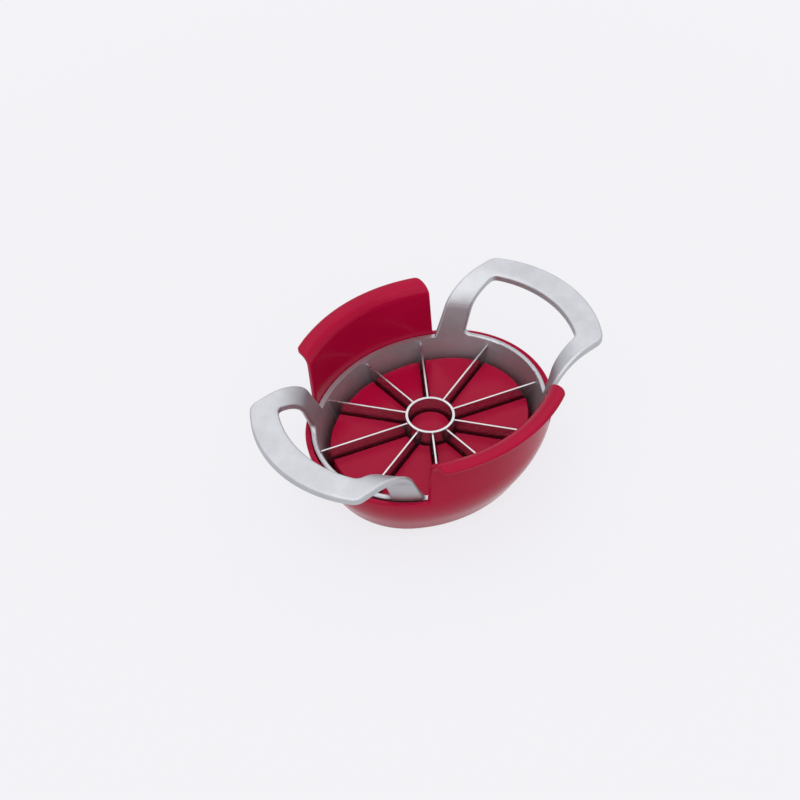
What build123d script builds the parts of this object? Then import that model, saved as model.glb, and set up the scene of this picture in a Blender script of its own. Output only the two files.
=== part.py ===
from build123d import *
import os
from math import asin, atan2, cos, degrees, radians, sin, sqrt, tan

# An apple slicer: a cast cutter frame with two loop handles and ten blades,
# resting on the rim of an oval bowl whose two side walls rise to flared lips.
# X runs along the handles, Y across them, Z up, origin under the bowl's middle.

# Bowl mouth: the oval inside of the low rim
BOWL_HALF_LENGTH = 62.2
BOWL_HALF_WIDTH = 52.2
BOWL_END_RADIUS = 47.2

# Bowl wall
BOWL_WALL = 2.8
RIM_HEIGHT = 33.0
FOOT_INSET = 10.0
FOOT_EDGE_RADIUS = 7.0
HULL_BEND_RADIUS = 50.0
HULL_BEND_HEIGHT = 24.0

# High side walls and their lips
LIP_TOP = 64.2
LIP_REACH = 11.4
LIP_BEND_RADIUS = 5.2
SIDE_WALL_LEAN = 4.0
SIDE_WALL_HALF_LENGTH = 38.8
LIP_CORNER_RADIUS = 5.0
LIP_CORNER_MARGIN = 0.2
NOTCH_CORNER_RADIUS = 1.5
RIM_ROUND = 0.8

# Pusher pads in the bowl, cored out from below
PAD_TOP = 24.0
PAD_WALL = 2.2
PAD_RING_GAP = 1.3
PAD_ROUND = 0.8
PAD_POCKET_RADIUS = 1.2
SLOT_CLEARANCE = 1.0
EDGE_DEPTH_CLEARANCE = 3.0

# Seat ribs that the cutter ring stands on
SEAT_RIB_COUNT = 10
SEAT_RIB_WIDTH = 2.5

# Cutter ring
RING_WALL = 2.6
RING_BOTTOM = 15.5
RING_CLEARANCE = 0.4
RING_LEAN = 15.5

# Handles
HANDLE_TOP = 63.0
HANDLE_THICKNESS = 4.4
UPPER_BEND_RADIUS = 17.8
UNDER_BEND_RADIUS = 14.2
HANDLE_HALF_LENGTH = 93.0
HANDLE_OUTER_RADIUS = 61.0
HANDLE_CORNER_RADIUS = 7.0
HANDLE_ROUND = 1.1
LEG_LEAN = 14.0
LEG_WALL_GAP = 0.9

# Finger windows in the handles
WINDOW_HALF_LENGTH = 78.3
WINDOW_OUTER_RADIUS = 54.0
WINDOW_HALF_WIDTH = 29.5
WINDOW_SILL = 1.5
WINDOW_CORNER_RADIUS = 4.0
WINDOW_FOOT_RADIUS = 3.0
WINDOW_ROUND = 1.0

# Blades and core ring
BLADE_COUNT = 10
BLADE_THICKNESS = 0.8
BLADE_EDGE = 16.5
BLADE_TOP = 31.0
BLADE_BEVEL = 2.0
BLADE_TIP = 0.15
BLADE_TAB = 1.5
BLADE_FIT = 0.05
CORE_RADIUS = 11.0
CORE_WALL = 1.2
CORE_TOP = 32.0
CORE_LEAD = 1.0
CORE_BEVEL = 2.0
CORE_GROOVE = 0.6

# The oval is four arcs: two ends about (±END_X, 0), two sides about (0, ±SIDE_Y)
END_X = BOWL_HALF_LENGTH - BOWL_END_RADIUS
SIDE_RADIUS = (END_X**2 + BOWL_HALF_WIDTH**2 - BOWL_END_RADIUS**2) / (2 * (BOWL_HALF_WIDTH - BOWL_END_RADIUS))
SIDE_Y = SIDE_RADIUS - BOWL_HALF_WIDTH
JOIN_ANGLE = degrees(atan2(SIDE_Y, END_X))
ARCS = (
    (END_X, 0, BOWL_END_RADIUS, -JOIN_ANGLE, 2 * JOIN_ANGLE),
    (0, -SIDE_Y, SIDE_RADIUS, JOIN_ANGLE, 180 - 2 * JOIN_ANGLE),
    (-END_X, 0, BOWL_END_RADIUS, 180 - JOIN_ANGLE, 2 * JOIN_ANGLE),
    (0, SIDE_Y, SIDE_RADIUS, 180 + JOIN_ANGLE, 180 - 2 * JOIN_ANGLE),
)

# Levels and offsets from the mouth line that follow from the sizes above
FAR = 200.0
NEAR = 0.05
SHARP_ANGLE = 25.0
HALF_WALL = BOWL_WALL / 2
SILL_TOP = RIM_HEIGHT + WINDOW_SILL
RING_OUTER = -RING_CLEARANCE
RING_INNER = RING_OUTER - RING_WALL
RING_SLOPE = tan(radians(RING_LEAN))
RING_TAPER = RING_SLOPE * (RIM_HEIGHT - RING_BOTTOM)
PAD_OFFSET = RING_INNER - RING_TAPER - PAD_RING_GAP
FLOOR_OFFSET = -FOOT_INSET - FOOT_EDGE_RADIUS
SLOT_FLOOR = BLADE_EDGE - EDGE_DEPTH_CLEARANCE
SLOT_WIDTH = BLADE_THICKNESS + 2 * SLOT_CLEARANCE
CORE_OUTER = CORE_RADIUS + CORE_WALL
LEG_EDGE = SIDE_WALL_HALF_LENGTH + LEG_WALL_GAP


def sharp_edges(solid, region):
    """Edges inside a region where two faces meet at a clear angle; region tests an edge's middle."""
    faces = solid.faces()
    sharp = ShapeList()
    for edge in solid.edges().filter_by(lambda edge: region(edge @ 0.5)):
        sides = [face.normal_at(edge @ 0.5) for face in faces if any(edge.is_same(other) for other in face.edges())]
        if len(sides) == 2 and sides[0].get_angle(sides[1]) > SHARP_ANGLE:
            sharp.append(edge)
    return sharp


def oval_face(offset):
    """The flat oval, grown outward from the rim line by offset."""
    edges = [CenterArc((x, y), radius + offset, start, sweep) for x, y, radius, start, sweep in ARCS]
    return make_face(edges)


def around_oval(section):
    """Carries a section, drawn as (offset from the rim line, height), once around the oval."""
    solids = []
    for x, y, radius, start, sweep in ARCS:
        outward = Vector(cos(radians(start)), sin(radians(start)), 0)
        plane = Plane(origin=(x, y, 0), x_dir=outward, z_dir=outward.cross(Vector(0, 0, 1)))
        face = plane * Pos(radius, 0) * section
        solids.append(revolve(face, Axis((x, y, 0), (0, 0, 1)), sweep))
    return solids[0] + solids[1] + solids[2] + solids[3]


def oval_reach(angle, offset):
    """Distance from the middle to the oval grown by offset, along a direction in degrees."""
    run = abs(cos(radians(angle)))
    rise = abs(sin(radians(angle)))
    end = END_X * run + sqrt((BOWL_END_RADIUS + offset)**2 - (END_X * rise)**2)
    if atan2(end * rise, end * run - END_X) <= radians(JOIN_ANGLE):
        return end
    return -SIDE_Y * rise + sqrt((SIDE_RADIUS + offset)**2 - (SIDE_Y * run)**2)


def oval_height(along, offset):
    """Distance from the X axis to the oval grown by offset, at a distance along X."""
    if along > END_X + (BOWL_END_RADIUS + offset) * cos(radians(JOIN_ANGLE)):
        return sqrt((BOWL_END_RADIUS + offset)**2 - (along - END_X)**2)
    return sqrt((SIDE_RADIUS + offset)**2 - along**2) - SIDE_Y


def hull_middle(height):
    """Offset of the wall's middle line at a height on the straight hull side."""
    top = wall_middle(HULL_BEND_HEIGHT)
    return -FOOT_INSET + (top + FOOT_INSET) * (height - HALF_WALL) / (HULL_BEND_HEIGHT - HALF_WALL)


def wall_middle(height):
    """Offset of the wall's middle line at a height on the straight, leaning side wall."""
    return HALF_WALL / cos(radians(SIDE_WALL_LEAN)) + (height - RIM_HEIGHT) * tan(radians(SIDE_WALL_LEAN))


def bowl_wall():
    """The floor's edge, the hull, the side walls and the lips as one band of even thickness."""
    lean = radians(SIDE_WALL_LEAN)
    bend_z = LIP_TOP - HALF_WALL - LIP_BEND_RADIUS
    bend_start_z = bend_z + LIP_BEND_RADIUS * sin(lean)
    bend_start_x = wall_middle(bend_start_z)
    bend_x = bend_start_x + LIP_BEND_RADIUS * cos(lean)
    droop = degrees(asin((LIP_REACH - HALF_WALL - bend_x) / LIP_BEND_RADIUS))
    wall = FilletPolyline(
        (FLOOR_OFFSET, HALF_WALL),
        (-FOOT_INSET, HALF_WALL),
        (wall_middle(HULL_BEND_HEIGHT), HULL_BEND_HEIGHT),
        (bend_start_x, bend_start_z),
        radius=(FOOT_EDGE_RADIUS, HULL_BEND_RADIUS),
    )
    lip = CenterArc((bend_x, bend_z), LIP_BEND_RADIUS, 90 - droop, 90 + droop - SIDE_WALL_LEAN)
    path = Wire(wall.edges() + lip.edges())
    section = make_face(offset(path, HALF_WALL, side=Side.BOTH).edges())
    return around_oval(section)


def rim_notches():
    """The two spaces above the low rims, where the handles pass."""
    length = FAR - SIDE_WALL_HALF_LENGTH
    block = Box(length, FAR, FAR, align=(Align.MIN, Align.CENTER, Align.MIN))
    right = Pos(SIDE_WALL_HALF_LENGTH, 0, RIM_HEIGHT) * block
    right = fillet(right.edges().filter_by(Axis.Y).group_by(Axis.X)[0].group_by(Axis.Z)[0], NOTCH_CORNER_RADIUS)
    return right + right.rotate(Axis.Z, 180)


def lip_corners():
    """The corners taken off the four lip ends."""
    low = LIP_TOP - BOWL_WALL - LIP_BEND_RADIUS
    span = 2 * SIDE_WALL_HALF_LENGTH
    plan = oval_face(LIP_REACH + LIP_CORNER_MARGIN) & Rectangle(span, FAR)
    plan = fillet(plan.vertices(), LIP_CORNER_RADIUS)
    return Pos(0, 0, low) * extrude(Rectangle(span, FAR) - plan, FAR)


def blade_slots(width, wall):
    """Seen from above, the lines of the blades and the core ring, widened by wall on each side."""
    lines = Circle(CORE_OUTER + SLOT_CLEARANCE + wall) - Circle(CORE_RADIUS - SLOT_CLEARANCE - wall)
    for angle in blade_angles():
        line = Pos(CORE_RADIUS, 0) * Rectangle(FAR, width + 2 * wall, align=(Align.MIN, Align.CENTER))
        lines += line.rotate(Axis.Z, angle)
    return lines


def pusher_pads():
    """The floor and a raised block on it, slotted for the blades and the core ring."""
    floor = extrude(oval_face(FLOOR_OFFSET + NEAR), 2 * BOWL_WALL)
    block = Pos(0, 0, BOWL_WALL) * extrude(oval_face(PAD_OFFSET), PAD_TOP - BOWL_WALL)
    block -= Pos(0, 0, SLOT_FLOOR) * extrude(blade_slots(SLOT_WIDTH, 0), PAD_TOP)
    block = fillet(sharp_edges(block, lambda point: point.Z > PAD_TOP - NEAR), PAD_ROUND)
    return block + floor


def pad_pockets():
    """Two hollows under each pad, open at the underside, with a rib between; the post stays whole."""
    plan = oval_face(PAD_OFFSET - PAD_WALL) & oval_face(FLOOR_OFFSET)
    plan -= blade_slots(SLOT_WIDTH, PAD_WALL)
    plan -= Circle(CORE_RADIUS)
    for angle in blade_angles():
        plan -= Rectangle(FAR, PAD_WALL).rotate(Axis.Z, angle + 180 / BLADE_COUNT)
    plan = offset(offset(plan, -PAD_POCKET_RADIUS), PAD_POCKET_RADIUS)
    return extrude(plan, PAD_TOP - PAD_WALL)


def seat_ribs():
    """Upright ribs between the pads and the hull, level with the underside of the cutter ring."""
    low = HALF_WALL
    section = make_face(Polyline(
        (PAD_OFFSET - BOWL_WALL, low),
        (hull_middle(low), low),
        (hull_middle(RING_BOTTOM), RING_BOTTOM),
        (PAD_OFFSET - BOWL_WALL, RING_BOTTOM),
        close=True,
    ))
    band = around_oval(section)
    ribs = Part()
    for index in range(SEAT_RIB_COUNT):
        rib = Box(FAR, SEAT_RIB_WIDTH, FAR, align=(Align.MIN, Align.CENTER, Align.CENTER))
        ribs += band & rib.rotate(Axis.Z, 360 / SEAT_RIB_COUNT * index)
    return ribs


def base_bowl():
    """The bowl with its pads and seat ribs, one moulding."""
    bowl = bowl_wall() - rim_notches() - lip_corners()
    bowl = fillet(sharp_edges(bowl, lambda point: point.Z > RIM_HEIGHT - NEAR), RIM_ROUND)
    return bowl + pusher_pads() + seat_ribs() - pad_pockets()


def blade_angles():
    """Blade directions, with one blade square to the handles on each side."""
    step = 360 / BLADE_COUNT
    return [90 + step * index for index in range(BLADE_COUNT)]


def ring_band():
    """The oval cutter ring, tapered like the bowl around it."""
    section = make_face(Polyline(
        (RING_OUTER, RIM_HEIGHT),
        (RING_OUTER - RING_TAPER, RING_BOTTOM),
        (RING_INNER - RING_TAPER, RING_BOTTOM),
        (RING_INNER, RIM_HEIGHT),
        close=True,
    ))
    return around_oval(section)


def bend_centre(foot, radius, top):
    """Centre of the bend that takes a surface, leaning up from foot at the rim, level at top."""
    lean = radians(LEG_LEAN)
    start_z = top - radius * (1 - sin(lean))
    start_x = foot + (start_z - RIM_HEIGHT) * tan(lean)
    return start_x + radius * cos(lean), top - radius


def handle_band():
    """The leaning leg, the outward bend and the level grip, all around the oval."""
    under = HANDLE_TOP - HANDLE_THICKNESS
    grip_end = HANDLE_HALF_LENGTH - BOWL_HALF_LENGTH + HANDLE_CORNER_RADIUS
    upper_centre = bend_centre(RING_INNER, UPPER_BEND_RADIUS, HANDLE_TOP)
    under_centre = bend_centre(RING_OUTER, UNDER_BEND_RADIUS, under)
    upper_bend = CenterArc(upper_centre, UPPER_BEND_RADIUS, 90, 90 - LEG_LEAN)
    under_bend = CenterArc(under_centre, UNDER_BEND_RADIUS, 90, 90 - LEG_LEAN)
    outline = [
        upper_bend,
        under_bend,
        Line(upper_bend @ 1, (RING_INNER, RIM_HEIGHT)),
        Line((RING_INNER, RIM_HEIGHT), (RING_OUTER, RIM_HEIGHT)),
        Line((RING_OUTER, RIM_HEIGHT), under_bend @ 1),
        Line(under_bend @ 0, (grip_end, under)),
        Line((grip_end, under), (grip_end, HANDLE_TOP)),
        Line((grip_end, HANDLE_TOP), upper_bend @ 0),
    ]
    return around_oval(make_face(outline))


def handle_trim():
    """The handle seen from above, as a tall solid that trims the band."""
    half_width = oval_height(LEG_EDGE, RING_OUTER)
    centre = HANDLE_HALF_LENGTH - HANDLE_OUTER_RADIUS
    corner = centre + sqrt(HANDLE_OUTER_RADIUS**2 - half_width**2)
    outline = make_face([
        Line((END_X, -half_width), (corner, -half_width)),
        ThreePointArc((corner, -half_width), (HANDLE_HALF_LENGTH, 0), (corner, half_width)),
        Line((corner, half_width), (END_X, half_width)),
        Line((END_X, half_width), (END_X, -half_width)),
    ])
    outline = fillet(outline.vertices().group_by(Axis.X)[-1], HANDLE_CORNER_RADIUS)
    return extrude(outline, HANDLE_TOP)


def window_cutter():
    """The finger window, open upward, with rounded corners at its sill."""
    centre = WINDOW_HALF_LENGTH - WINDOW_OUTER_RADIUS
    corner = centre + sqrt(WINDOW_OUTER_RADIUS**2 - WINDOW_HALF_WIDTH**2)
    outline = make_face([
        Line((0, -WINDOW_HALF_WIDTH), (corner, -WINDOW_HALF_WIDTH)),
        ThreePointArc((corner, -WINDOW_HALF_WIDTH), (WINDOW_HALF_LENGTH, 0), (corner, WINDOW_HALF_WIDTH)),
        Line((corner, WINDOW_HALF_WIDTH), (0, WINDOW_HALF_WIDTH)),
        Line((0, WINDOW_HALF_WIDTH), (0, -WINDOW_HALF_WIDTH)),
    ])
    solid = Pos(0, 0, SILL_TOP) * extrude(outline, HANDLE_TOP)
    solid = fillet(solid.edges().filter_by(Axis.Z).group_by(Axis.X)[-1], WINDOW_CORNER_RADIUS)
    sill = solid.edges().filter_by(Axis.X).group_by(Axis.Z)[0]
    return fillet(sill, WINDOW_FOOT_RADIUS)


def blade_plate(angle, thickness, fit):
    """An upright plate from the core ring into the cutter ring, grown by fit at its ends and top."""
    inner = CORE_OUTER - CORE_GROOVE - fit
    levels = (BLADE_EDGE, BLADE_TOP + fit)
    reaches = [
        oval_reach(angle, RING_INNER + BLADE_TAB - RING_SLOPE * (RIM_HEIGHT - level)) + fit for level in levels
    ]
    outline = make_face(Polyline(
        (inner, levels[0]), (reaches[0], levels[0]), (reaches[1], levels[1]), (inner, levels[1]), close=True,
    ))
    return extrude(Plane.XZ * outline, thickness / 2, both=True).rotate(Axis.Z, angle)


def blade(angle):
    """A blade with its cutting edge bevelled from both faces."""
    half = BLADE_THICKNESS / 2
    shoulder = BLADE_EDGE + BLADE_BEVEL
    knife = make_face(Polyline(
        (-half, BLADE_TOP),
        (half, BLADE_TOP),
        (half, shoulder),
        (BLADE_TIP / 2, BLADE_EDGE),
        (-BLADE_TIP / 2, BLADE_EDGE),
        (-half, shoulder),
        close=True,
    ))
    length = BOWL_HALF_LENGTH
    profile = extrude(Plane.YZ * knife, length).rotate(Axis.Z, angle)
    return blade_plate(angle, BLADE_THICKNESS, 0) & profile


def core_ring():
    """The tube that stamps out the core, grooved where the blades end."""
    tip = BLADE_EDGE - CORE_LEAD
    section = make_face(Polyline(
        (CORE_RADIUS, CORE_TOP),
        (CORE_OUTER, CORE_TOP),
        (CORE_OUTER, tip),
        (CORE_RADIUS, tip + CORE_BEVEL),
        close=True,
    ))
    tube = revolve(Plane.XZ * section, Axis.Z, 360)
    for angle in blade_angles():
        tube -= blade_plate(angle, BLADE_THICKNESS + 2 * BLADE_FIT, BLADE_FIT)
    return tube


def handle():
    """One handle with its finger window, on the +X side."""
    solid = handle_band() & handle_trim()
    solid = fillet(sharp_edges(solid, lambda point: point.Z > RIM_HEIGHT + NEAR), HANDLE_ROUND)
    solid = solid - window_cutter()
    around_window = sharp_edges(
        solid,
        lambda point: abs(point.Y) < WINDOW_HALF_WIDTH + NEAR
        and point.X < WINDOW_HALF_LENGTH + NEAR
        and point.Z > SILL_TOP - NEAR,
    )
    return fillet(around_window, WINDOW_ROUND)


def cutter_frame():
    """The cast ring and its two handles, slotted for the blades' ends."""
    right = handle()
    frame = ring_band() + [right, right.rotate(Axis.Z, 180)]
    for angle in blade_angles():
        frame -= blade_plate(angle, BLADE_THICKNESS + 2 * BLADE_FIT, BLADE_FIT)
    return frame


def build():
    os.makedirs("parts", exist_ok=True)
    export_step(base_bowl(), "parts/base_bowl.step")
    export_step(cutter_frame(), "parts/cutter_frame.step")
    export_step(core_ring(), "parts/core_ring.step")
    for index, angle in enumerate(blade_angles(), start=1):
        export_step(blade(angle), f"parts/blade_{index:02d}.step")


build()
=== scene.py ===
import math

import bpy
from mathutils import Matrix, Vector

# An apple slicer: a cast cutter frame with two loop handles, ten blades and a
# core ring, standing in a red bowl with two raised side walls. The solids carry
# every shape; here they get materials, a floor, soft light and a camera.
# Lengths are in metres, colours are linear.

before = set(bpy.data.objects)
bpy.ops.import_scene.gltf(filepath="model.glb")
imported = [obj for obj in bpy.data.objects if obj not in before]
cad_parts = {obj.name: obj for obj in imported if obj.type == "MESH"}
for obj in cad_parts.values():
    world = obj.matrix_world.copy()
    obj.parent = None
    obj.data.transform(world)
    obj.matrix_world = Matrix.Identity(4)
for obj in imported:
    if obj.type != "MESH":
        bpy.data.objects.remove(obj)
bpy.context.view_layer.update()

# The photograph's viewpoint, about the part's origin, and its framing
AZIMUTH = math.radians(-41.0)
ELEVATION = math.radians(48.33)
ROLL = math.radians(-0.685)
DISTANCE = 0.85746
FOCAL_PIXELS = 1686.45
CENTRE_PIXELS = (430.69, 457.60)
IMAGE_PIXELS = 800.0
SENSOR_MM = 36.0
CLIP_START = 0.01
CLIP_END = 50.0

# Parts of a noise's 0 to 1 that are spread over a whole mix
FULL = (0.0, 1.0)
NARROW_BAND = (0.35, 0.65)
WIDE_BAND = (0.3, 0.7)
SPECK_BAND = (0.35, 0.7)

# Moulded plastic. Noise scales count features per metre, here and below; a bump
# is its height and its strength
BOWL_RED = (0.400, 0.0020, 0.0330)
BOWL_RED_LIGHT = (0.430, 0.0030, 0.0380)
PLASTIC_IOR = 1.49
PLASTIC_SPECULAR = 0.10
PLASTIC_ROUGHNESS = (0.15, 0.20)
SCUFF_ROUGHNESS = (-0.02, 0.03)
FLOW = {"scale": 24.0, "detail": 3.0}
SCUFF = {"scale": 700.0, "detail": 3.0, "stretch": (1.0, 1.0, 0.1)}
SMEAR = {"scale": 45.0, "detail": 4.0, "roughness": 0.55}
SKIN = {"scale": 1100.0, "detail": 2.0}
SKIN_BUMP = (0.00001, 0.35)

# Cast aluminium
CAST_GREY = (0.54, 0.55, 0.57)
CAST_GREY_DARK = (0.44, 0.45, 0.47)
CAST_ROUGHNESS = (0.50, 0.44)
PATCH = {"scale": 90.0, "detail": 5.0, "roughness": 0.6}
SPECK = {"scale": 2400.0, "detail": 2.0}
GRAIN = {"scale": 2000.0, "detail": 3.0, "roughness": 0.6}
GRAIN_BUMP = (0.00006, 0.8)

# Ground steel; the strokes are long and low, so they run along the blades
STEEL = (0.49, 0.495, 0.50)
STEEL_LIGHT = (0.58, 0.585, 0.59)
STEEL_ROUGHNESS = (0.20, 0.36)
STROKE = {"scale": 1.0, "detail": 4.0, "roughness": 0.65, "stretch": (60.0, 60.0, 9000.0)}
CLOUD = {"scale": 120.0, "detail": 3.0}
STROKE_BUMP = (0.00002, 0.4)

# Paper floor, as it lights the object and as it is seen
FLOOR_RADIUS = 6.0
FLOOR_SIDES = 96
PAPER = (0.62, 0.62, 0.63)
PAPER_SEEN = (0.970, 0.965, 1.000)
PAPER_ROUGHNESS = 0.9
PAPER_SPECULAR = 0.1
FIBRE = {"scale": 300.0, "detail": 4.0}
FIBRE_SHADE = 0.99

# Share of the seen colour in the floor: by the object, and past the fade
NEAR_SHARE = 0.80
FAR_SHARE = 1.0
FADE_BAND = (0.35, 1.6)

# Light
SKY = (0.96, 0.97, 1.0)
SKY_STRENGTH = 0.55
SEEN_STRENGTH = 1.0
LAMP_TARGET = (0.0, 0.0, 0.03)
TOP_SOFTBOX = {"place": (0.30, 0.35, 2.40), "size": (3.6, 3.6), "watts": 28.0}
FRONT_SOFTBOX = {"place": (-1.4, -1.7, 1.8), "size": (4.6, 3.8), "watts": 39.0}


# Node helpers
def new_material(name):
    material = bpy.data.materials.new(name)
    material.use_nodes = True
    tree = material.node_tree
    shader = next(node for node in tree.nodes if node.type == "BSDF_PRINCIPLED")
    return material, tree, shader


def local_noise(tree, scale, detail, roughness=0.5, stretch=(1.0, 1.0, 1.0)):
    """Noise in the piece's own coordinates, stretched by a factor for each axis."""
    coordinates = tree.nodes.new("ShaderNodeTexCoord")
    mapping = tree.nodes.new("ShaderNodeMapping")
    mapping.inputs["Scale"].default_value = stretch
    noise = tree.nodes.new("ShaderNodeTexNoise")
    noise.inputs["Scale"].default_value = scale
    noise.inputs["Detail"].default_value = detail
    noise.inputs["Roughness"].default_value = roughness
    tree.links.new(coordinates.outputs["Object"], mapping.inputs["Vector"])
    tree.links.new(mapping.outputs["Vector"], noise.inputs["Vector"])
    return noise.outputs["Fac"]


def remap(tree, value, old, new):
    """The value's old range, low and high, stretched over a new one and held there."""
    node = tree.nodes.new("ShaderNodeMapRange")
    node.inputs["From Min"].default_value, node.inputs["From Max"].default_value = old
    node.inputs["To Min"].default_value, node.inputs["To Max"].default_value = new
    tree.links.new(value, node.inputs["Value"])
    return node.outputs["Result"]


def mix_colour(tree, share, first, second):
    node = tree.nodes.new("ShaderNodeMix")
    node.data_type = "RGBA"
    for name, colour in (("A", first), ("B", second)):
        socket = next(s for s in node.inputs if s.name == name and s.type == "RGBA")
        socket.default_value = (*colour, 1.0)
    factor = next(s for s in node.inputs if s.name == "Factor" and s.type == "VALUE")
    tree.links.new(share, factor)
    return next(s for s in node.outputs if s.type == "RGBA")


def combine(tree, operation, first, second):
    """Two values, each a number or another node's output, in one operation."""
    node = tree.nodes.new("ShaderNodeMath")
    node.operation = operation
    for socket, value in zip(node.inputs, (first, second)):
        if isinstance(value, (int, float)):
            socket.default_value = value
        else:
            tree.links.new(value, socket)
    return node.outputs["Value"]


def average(tree, first, second):
    return combine(tree, "MULTIPLY", combine(tree, "ADD", first, second), 0.5)


def bump(tree, shader, height, distance, strength):
    node = tree.nodes.new("ShaderNodeBump")
    node.inputs["Distance"].default_value = distance
    node.inputs["Strength"].default_value = strength
    tree.links.new(height, node.inputs["Height"])
    tree.links.new(node.outputs["Normal"], shader.inputs["Normal"])


def show(tree, share, lit, seen):
    """Give the tree's output the lit shader, with a share of the seen one in it."""
    choice = tree.nodes.new("ShaderNodeMixShader")
    factor, first, second = choice.inputs
    tree.links.new(share, factor)
    tree.links.new(lit.outputs[0], first)
    tree.links.new(seen.outputs[0], second)
    output = next(node for node in tree.nodes if node.type.startswith("OUTPUT"))
    tree.links.new(choice.outputs["Shader"], output.inputs["Surface"])


def background_rays(tree):
    """1 for rays from the camera, off a gloss or through a clear body, else 0."""
    path = tree.nodes.new("ShaderNodeLightPath")
    glossy, through = path.outputs["Is Glossy Ray"], path.outputs["Is Transmission Ray"]
    mirrored = combine(tree, "MAXIMUM", glossy, through)
    return combine(tree, "MAXIMUM", path.outputs["Is Camera Ray"], mirrored)


# Materials
def moulded_plastic():
    """Red plastic: faint flow clouds in the colour, fine scuffs and smears in the gloss."""
    material, tree, shader = new_material("moulded_plastic")
    shader.inputs["IOR"].default_value = PLASTIC_IOR
    shader.inputs["Specular IOR Level"].default_value = PLASTIC_SPECULAR
    flow = remap(tree, local_noise(tree, **FLOW), NARROW_BAND, FULL)
    colour = mix_colour(tree, flow, BOWL_RED, BOWL_RED_LIGHT)
    tree.links.new(colour, shader.inputs["Base Color"])
    scuff = remap(tree, local_noise(tree, **SCUFF), WIDE_BAND, SCUFF_ROUGHNESS)
    smear = remap(tree, local_noise(tree, **SMEAR), WIDE_BAND, PLASTIC_ROUGHNESS)
    tree.links.new(combine(tree, "ADD", scuff, smear), shader.inputs["Roughness"])
    bump(tree, shader, local_noise(tree, **SKIN), *SKIN_BUMP)
    return material


def cast_aluminium():
    """Tumbled cast aluminium: satin, with a fine grain and soft darker patches."""
    material, tree, shader = new_material("cast_aluminium")
    shader.inputs["Metallic"].default_value = 1.0
    patch = remap(tree, local_noise(tree, **PATCH), NARROW_BAND, FULL)
    speck = remap(tree, local_noise(tree, **SPECK), SPECK_BAND, FULL)
    mixture = average(tree, patch, speck)
    colour = mix_colour(tree, mixture, CAST_GREY_DARK, CAST_GREY)
    tree.links.new(colour, shader.inputs["Base Color"])
    tree.links.new(remap(tree, mixture, FULL, CAST_ROUGHNESS), shader.inputs["Roughness"])
    bump(tree, shader, local_noise(tree, **GRAIN), *GRAIN_BUMP)
    return material


def ground_steel():
    """Ground stainless steel, with grinding strokes along the blades and faint clouds."""
    material, tree, shader = new_material("ground_steel")
    shader.inputs["Metallic"].default_value = 1.0
    stroke = local_noise(tree, **STROKE)
    mixture = average(tree, stroke, local_noise(tree, **CLOUD))
    colour = mix_colour(tree, remap(tree, mixture, NARROW_BAND, FULL), STEEL, STEEL_LIGHT)
    tree.links.new(colour, shader.inputs["Base Color"])
    roughness = remap(tree, stroke, WIDE_BAND, STEEL_ROUGHNESS)
    tree.links.new(roughness, shader.inputs["Roughness"])
    bump(tree, shader, stroke, *STROKE_BUMP)
    return material


def floor_paper():
    """Matt paper that lights the object in full; where it is seen, its shadows are
    softened near the object and fade out far from it."""
    material, tree, shader = new_material("floor_paper")
    shader.inputs["Roughness"].default_value = PAPER_ROUGHNESS
    shader.inputs["Specular IOR Level"].default_value = PAPER_SPECULAR
    fibre = remap(tree, local_noise(tree, **FIBRE), WIDE_BAND, FULL)
    shaded = tuple(channel * FIBRE_SHADE for channel in PAPER)
    tree.links.new(mix_colour(tree, fibre, PAPER, shaded), shader.inputs["Base Color"])
    glow = tree.nodes.new("ShaderNodeEmission")
    glow.inputs["Color"].default_value = (*PAPER_SEEN, 1.0)
    coordinates = tree.nodes.new("ShaderNodeTexCoord")
    reach = tree.nodes.new("ShaderNodeVectorMath")
    reach.operation = "LENGTH"
    tree.links.new(coordinates.outputs["Object"], reach.inputs["Vector"])
    fade = remap(tree, reach.outputs["Value"], FADE_BAND, (NEAR_SHARE, FAR_SHARE))
    show(tree, combine(tree, "MULTIPLY", background_rays(tree), fade), shader, glow)
    return material


plastic = moulded_plastic()
aluminium = cast_aluminium()
steel = ground_steel()
for name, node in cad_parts.items():
    material = {"base_bowl": plastic, "cutter_frame": aluminium}.get(name, steel)
    for slot in node.material_slots:
        slot.material = material


# Floor, world and lamps
def studio_world():
    """A soft sky that lights the object; where it is seen, it has the paper's colour."""
    world = bpy.data.worlds.new("studio")
    world.use_nodes = True
    tree = world.node_tree
    tree.nodes.clear()
    tree.nodes.new("ShaderNodeOutputWorld")
    light = tree.nodes.new("ShaderNodeBackground")
    light.inputs["Color"].default_value = (*SKY, 1.0)
    light.inputs["Strength"].default_value = SKY_STRENGTH
    seen = tree.nodes.new("ShaderNodeBackground")
    seen.inputs["Color"].default_value = (*PAPER_SEEN, 1.0)
    seen.inputs["Strength"].default_value = SEEN_STRENGTH
    show(tree, background_rays(tree), light, seen)
    return world


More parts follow.
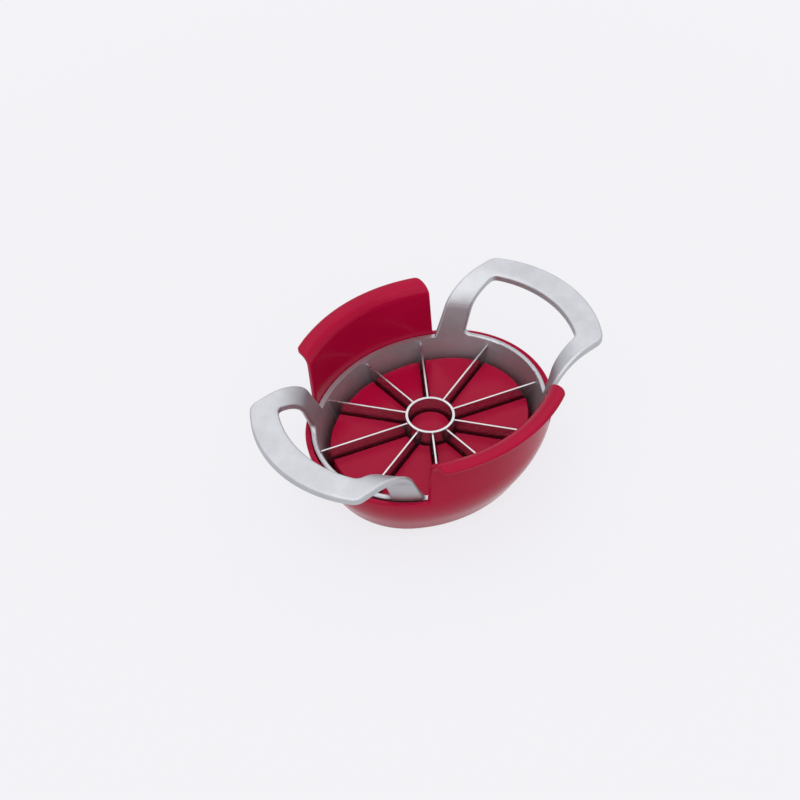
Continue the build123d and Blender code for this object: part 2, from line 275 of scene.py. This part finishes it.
def softbox(name, place, size, watts):
    """A rectangular lamp that faces the object and isn't seen itself."""
    data = bpy.data.lights.new(name, "AREA")
    data.shape = "RECTANGLE"
    data.size, data.size_y = size
    data.energy = watts
    lamp = bpy.data.objects.new(name, data)
    lamp.visible_camera = False
    bpy.context.scene.collection.objects.link(lamp)
    lamp.location = place
    lamp.rotation_mode = "QUATERNION"
    aim = Vector(LAMP_TARGET) - Vector(place)
    lamp.rotation_quaternion = aim.to_track_quat("-Z", "Y")


bpy.ops.mesh.primitive_circle_add(vertices=FLOOR_SIDES, radius=FLOOR_RADIUS, fill_type="NGON")
floor = bpy.context.object
floor.name = "floor"
floor.data.materials.append(floor_paper())

bpy.context.scene.world = studio_world()
softbox("top_softbox", **TOP_SOFTBOX)
softbox("front_softbox", **FRONT_SOFTBOX)


# Camera
def photograph_camera():
    """The photograph's camera: its place, direction, roll, lens and off-centre frame."""
    level = math.cos(ELEVATION)
    back = Vector((math.sin(AZIMUTH) * level, -math.cos(AZIMUTH) * level, math.sin(ELEVATION)))
    right = Vector((math.cos(AZIMUTH), math.sin(AZIMUTH), 0.0))
    up = back.cross(right)
    right_rolled = right * math.cos(ROLL) + up * math.sin(ROLL)
    up_rolled = up * math.cos(ROLL) - right * math.sin(ROLL)
    turn = Matrix((right_rolled, up_rolled, back)).transposed().to_4x4()
    data = bpy.data.cameras.new("camera")
    data.sensor_width = SENSOR_MM
    data.lens = SENSOR_MM * FOCAL_PIXELS / IMAGE_PIXELS
    data.shift_x = (IMAGE_PIXELS / 2 - CENTRE_PIXELS[0]) / IMAGE_PIXELS
    data.shift_y = (CENTRE_PIXELS[1] - IMAGE_PIXELS / 2) / IMAGE_PIXELS
    data.clip_start = CLIP_START
    data.clip_end = CLIP_END
    camera = bpy.data.objects.new("camera", data)
    bpy.context.scene.collection.objects.link(camera)
    camera.matrix_world = Matrix.Translation(back * DISTANCE) @ turn
    return camera


bpy.context.scene.camera = photograph_camera()
bpy.context.scene.view_settings.view_transform = "Standard"
